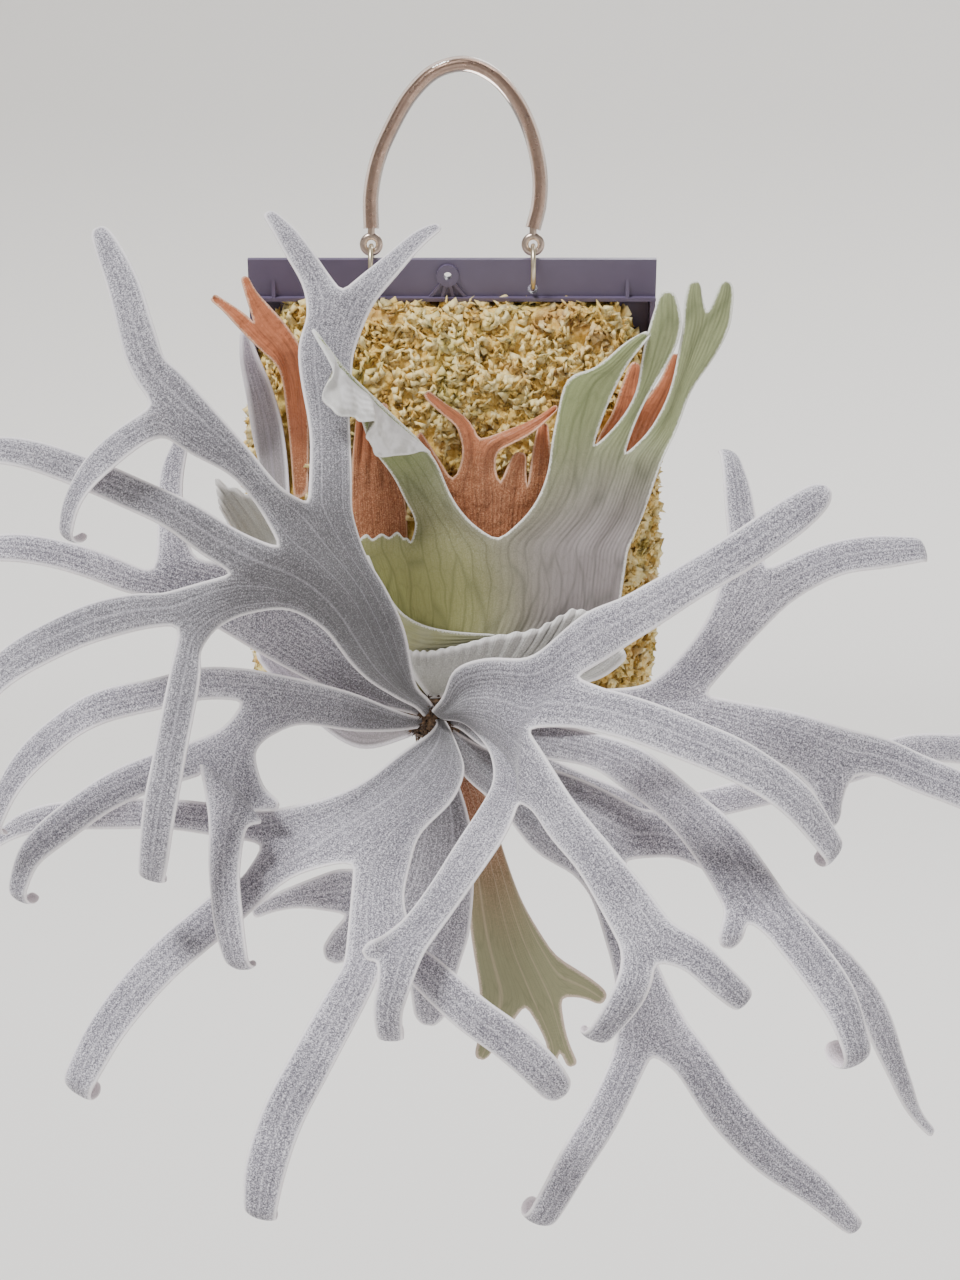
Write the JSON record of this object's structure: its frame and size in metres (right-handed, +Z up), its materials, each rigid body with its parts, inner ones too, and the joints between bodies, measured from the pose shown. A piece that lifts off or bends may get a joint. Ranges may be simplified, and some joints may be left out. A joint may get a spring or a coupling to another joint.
{
  "type": "staghorn fern",
  "caption": "Staghorn fern grown on a moss mound in a shallow moulded hanging board, with forked felt-grey fronds, lobed shields and a swinging wire bail.",
  "frame": {"origin": "hang point: the underside of the bail's top, where a hook bears", "axes": "+Z up along the hanging line, -Y to the front where the fronds reach, +X to the right as seen from the front"},
  "size_m": [0.4719, 0.2525, 0.5006],
  "materials": {
    "frond_felt": "matt silver-grey felted frond",
    "old_frond": "matt browning frond",
    "green_shield": "satin veined living shield",
    "young_shield": "matt felted young shield",
    "dry_shield": "dry papery shield",
    "grey_shield": "matt grey older shield",
    "moss": "loose dried moss",
    "bark": "rough scaly crown",
    "board_plastic": "satin moulded plastic",
    "tube_plastic": "smooth soft tube",
    "steel": "plated wire"
  },
  "bodies": {
    "bail": {"bail_wire": "steel", "bail_sleeve": "tube_plastic", "rail_ring_left": "steel", "rail_ring_right": "steel"},
    "holder": {"hanging_board": "board_plastic", "moss_mound": "moss", "crown_bud": "bark", "frond_a": "frond_felt", "frond_b": "frond_felt", "frond_c": "frond_felt", "frond_d": "frond_felt", "frond_e": "frond_felt", "frond_f": "frond_felt", "frond_g": "frond_felt", "frond_h": "frond_felt", "frond_i": "frond_felt", "frond_j": "frond_felt", "frond_k": "old_frond", "green_shield": "green_shield", "young_shield": "young_shield", "dried_shield_middle": "dry_shield", "dried_shield_left": "dry_shield", "dried_shield_right": "dry_shield", "dried_lobes_left": "dry_shield", "grey_old_lobe": "grey_shield", "frilled_side_shield": "grey_shield", "lower_left_shield": "grey_shield"}
  },
  "joints": [
    {"name": "bail_swing", "type": "hinge", "parent": "bail", "child": "holder", "pos_m": [-0.0058, 0, -0.0855], "axis": [1, 0, 0], "range_deg": [-50, 90]}
  ]
}
